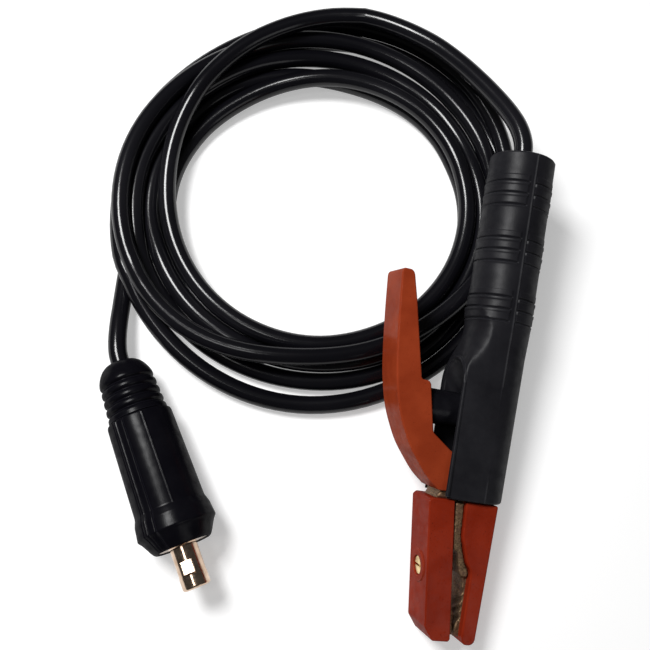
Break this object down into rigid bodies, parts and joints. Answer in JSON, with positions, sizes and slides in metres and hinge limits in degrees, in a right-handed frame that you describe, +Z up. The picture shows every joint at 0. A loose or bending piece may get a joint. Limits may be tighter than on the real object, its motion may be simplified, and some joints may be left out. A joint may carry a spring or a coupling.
{
  "type": "welding electrode holder",
  "caption": "Hand-held welding electrode holder with a sprung squeeze lever, insulated brass jaws, a coiled cable and a bayonet plug.",
  "frame": {"origin": "on the surface it lies on, below the middle of the holder's own box, without its cable and plug", "axes": "+Z up, +Y along the holder from its jaws to its cable, +X away from the lever"},
  "size_m": [0.216, 0.3102, 0.0614],
  "materials": {
    "grip_plastic": "moulded black nylon, matt",
    "lever_plastic": "orange-red moulding, glossy",
    "jaw_plastic": "dark red moulding, glossy",
    "cast_brass": "rough cast, dull",
    "screw_brass": "turned",
    "plug_brass": "turned and polished",
    "steel": "zinc plated",
    "spring_steel": "wound wire",
    "copper": "bare copper",
    "fibre": "vulcanised fibre",
    "sleeve_plastic": "black moulding",
    "cable_sheath": "smooth and glossy",
    "boot_rubber": "moulded, semi-gloss"
  },
  "bodies": {
    "root": {"handle_grip": "grip_plastic", "lower_arm": "cast_brass", "lower_jaw_cover": "jaw_plastic", "lower_jaw_screw": "screw_brass", "handle_screw": "screw_brass", "cable_set_screws": "steel", "cable_ferrule": "copper", "cable_conductor": "copper", "cable_in_handle": "cable_sheath", "pivot_pin": "steel", "pivot_clips": "steel", "pivot_washers": "fibre", "spring_seat": "fibre", "lever_spring": "spring_steel", "cable_tail": "cable_sheath", "cable_coil": "cable_sheath", "plug_lead": "cable_sheath", "plug_boot": "boot_rubber", "plug_pin": "plug_brass", "plug_set_screws": "steel", "plug_ferrule": "copper", "plug_conductor": "copper", "plug_cable_end": "cable_sheath"},
    "lever": {"upper_arm": "cast_brass", "lever_cover": "lever_plastic", "upper_jaw_cover": "jaw_plastic", "upper_jaw_screw": "screw_brass", "lever_cover_screw": "screw_brass", "spring_sleeve": "sleeve_plastic"}
  },
  "joints": [
    {"name": "lever_pivot", "type": "hinge", "parent": "root", "child": "lever", "pos_m": [0.01131, -0.0385, 0.02532], "axis": [-0.2588, 0.1511, -0.954], "range_deg": [0, 18], "stiffness_Nm_per_rad": 6, "springref_deg": -28.65, "deforming": ["lever_spring"]}
  ]
}
